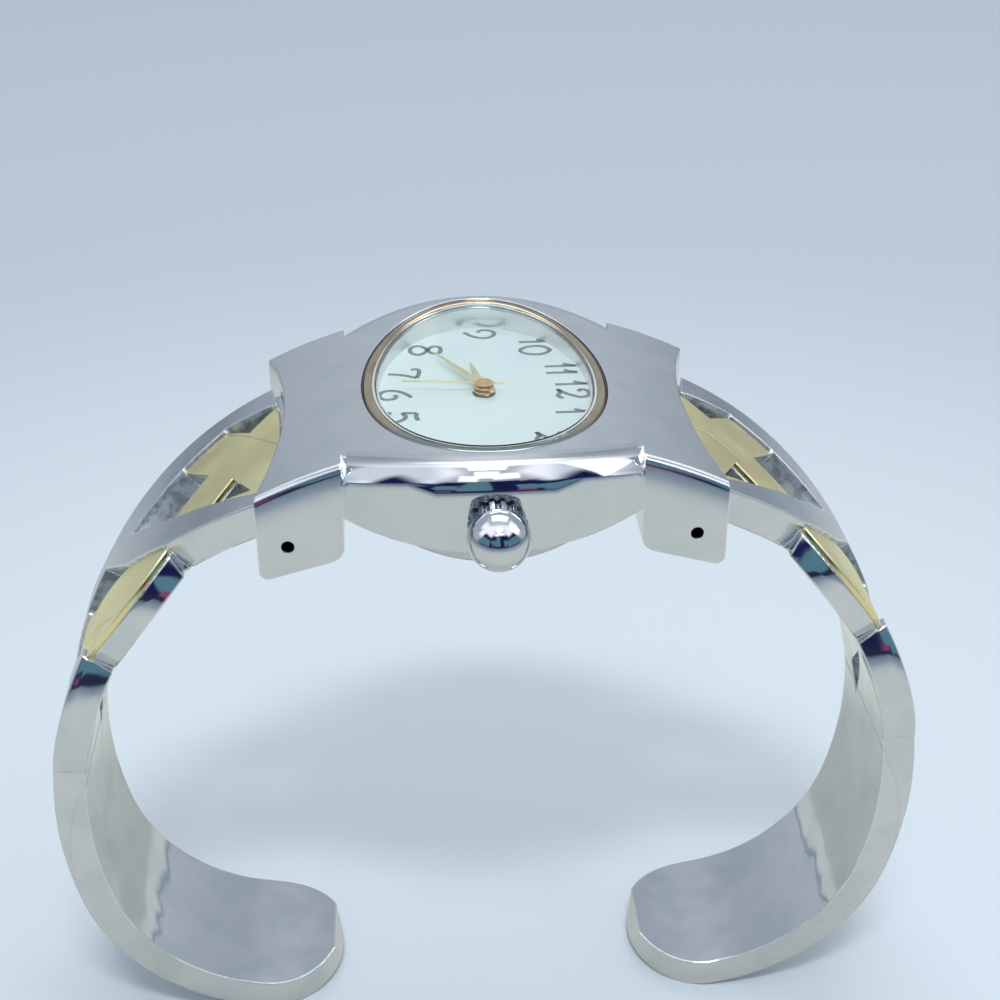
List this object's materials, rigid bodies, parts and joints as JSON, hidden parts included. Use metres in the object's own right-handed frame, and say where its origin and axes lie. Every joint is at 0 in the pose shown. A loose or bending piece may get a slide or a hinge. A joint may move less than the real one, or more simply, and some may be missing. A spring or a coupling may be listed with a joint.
{
  "type": "cuff watch",
  "caption": "Bangle-style wrist watch with an oval glass, a ball crown and sprung hinged arms pierced in a two-tone woven pattern.",
  "frame": {"origin": "centre of the case back's outer face, on the dial axis", "axes": "+X towards 12 o'clock, -Y towards the crown at 3 o'clock, +Z out through the glass"},
  "size_m": [0.0648, 0.0309, 0.0538],
  "materials": {
    "case_metal": "satin plated top with polished sides",
    "arm_metal": "polished plating",
    "arm_gold": "satin gold plating",
    "rim_gold": "polished gold plating",
    "back_steel": "satin",
    "small_steel": "machined",
    "seal": "matt",
    "clear_seal": "translucent",
    "glass": "polished",
    "reflector": "polished",
    "dial_paint": "satin lacquer",
    "hand_gold": "polished gold plating",
    "movement_metal": "nickel plated",
    "wheel_brass": "machined",
    "train_plastic": "moulded",
    "holder_plastic": "moulded",
    "magnet": "ground",
    "coil_copper": "enamelled wire",
    "board": "lacquered laminate",
    "chip": "moulded",
    "cell_steel": "satin"
  },
  "bodies": {
    "case": {"case": "case_metal", "case_back": "back_steel", "back_gasket": "seal", "crystal_rim": "rim_gold", "crystal_gasket": "clear_seal", "crystal": "glass", "reflector_ring": "reflector", "dial": "dial_paint", "main_plate": "movement_metal", "train_bridge": "movement_metal", "movement_holder": "holder_plastic", "movement_screws": "small_steel", "stator": "movement_metal", "coil": "coil_copper", "circuit_board": "board", "circuit_chip": "chip", "quartz_can": "cell_steel", "battery": "cell_steel", "battery_clamp": "small_steel", "crown_tube": "back_steel", "hinge_pins": "small_steel"},
    "arm_12": {"arm_12": "arm_metal", "gold_inlay_12": "arm_gold", "hinge_spring_12": "small_steel"},
    "arm_6": {"arm_6": "arm_metal", "gold_inlay_6": "arm_gold", "hinge_spring_6": "small_steel"},
    "clutch": {"clutch_wheel": "small_steel"},
    "crown": {"stem": "small_steel", "crown": "case_metal", "crown_gasket": "seal"},
    "setting_lever": {"setting_lever": "small_steel"},
    "seconds": {"second_hand": "hand_gold", "fourth_wheel": "wheel_brass"},
    "minutes": {"minute_hand": "hand_gold", "centre_wheel": "wheel_brass"},
    "hours": {"hour_hand": "hand_gold", "hour_wheel": "wheel_brass"},
    "third_wheel": {"third_wheel": "wheel_brass"},
    "fifth_wheel": {"fifth_wheel": "train_plastic"},
    "minute_wheel": {"minute_wheel": "wheel_brass"},
    "rotor": {"rotor": "magnet"}
  },
  "joints": [
    {"name": "arm_12_hinge", "type": "hinge", "parent": "case", "child": "arm_12", "pos_m": [0.0135, 0, 0.00035], "axis": [0, -1, 0], "range_deg": [0, 8], "stiffness_Nm_per_rad": 0.15, "springref_deg": -20.05},
    {"name": "arm_6_hinge", "type": "hinge", "parent": "case", "child": "arm_6", "pos_m": [-0.0135, 0, 0.00035], "axis": [0, 1, 0], "range_deg": [0, 8], "stiffness_Nm_per_rad": 0.15, "springref_deg": -20.05},
    {"name": "crown_turn", "type": "hinge", "parent": "case", "child": "clutch", "pos_m": [0, -0.00645, 0.0034], "axis": [0, -1, 0], "continuous": true},
    {"name": "crown_pull", "type": "slide", "parent": "clutch", "child": "crown", "axis": [0, -1, 0], "range_m": [0, 0.001]},
    {"name": "setting_lever_turn", "type": "hinge", "parent": "case", "child": "setting_lever", "pos_m": [-0.00187, -0.0081, 0.0037], "axis": [0, 0, 1], "range_deg": [-37.5, 0]},
    {"name": "second_turn", "type": "hinge", "parent": "case", "child": "seconds", "pos_m": [0, 0, 0.003], "axis": [0, 0, -1], "continuous": true},
    {"name": "third_turn", "type": "hinge", "parent": "case", "child": "third_wheel", "pos_m": [-0.0026, -0.00219, 0.003], "axis": [0, 0, -1], "continuous": true},
    {"name": "minute_turn", "type": "hinge", "parent": "case", "child": "minutes", "pos_m": [0, 0, 0.003], "axis": [0, 0, -1], "continuous": true},
    {"name": "minute_wheel_turn", "type": "hinge", "parent": "case", "child": "minute_wheel", "pos_m": [0.0011, 0.00191, 0.003], "axis": [0, 0, -1], "continuous": true},
    {"name": "hour_turn", "type": "hinge", "parent": "case", "child": "hours", "pos_m": [0, 0, 0.003], "axis": [0, 0, -1], "continuous": true},
    {"name": "fifth_turn", "type": "hinge", "parent": "case", "child": "fifth_wheel", "pos_m": [0.00305, -0.00142, 0.003], "axis": [0, 0, -1], "continuous": true},
    {"name": "rotor_turn", "type": "hinge", "parent": "case", "child": "rotor", "pos_m": [0.0041, -0.00324, 0.003], "axis": [0, 0, -1], "continuous": true}
  ],
  "couplings": [
    {"joint": "setting_lever_turn", "follows": "crown_pull", "rad_per_m": -645.91},
    {"joint": "third_turn", "follows": "second_turn", "ratio": -0.13333},
    {"joint": "minute_turn", "follows": "second_turn", "ratio": 0.016667},
    {"joint": "minute_wheel_turn", "follows": "second_turn", "ratio": -0.0055556},
    {"joint": "hour_turn", "follows": "second_turn", "ratio": 0.0013889},
    {"joint": "fifth_turn", "follows": "second_turn", "ratio": -5},
    {"joint": "rotor_turn", "follows": "second_turn", "ratio": 30}
  ]
}
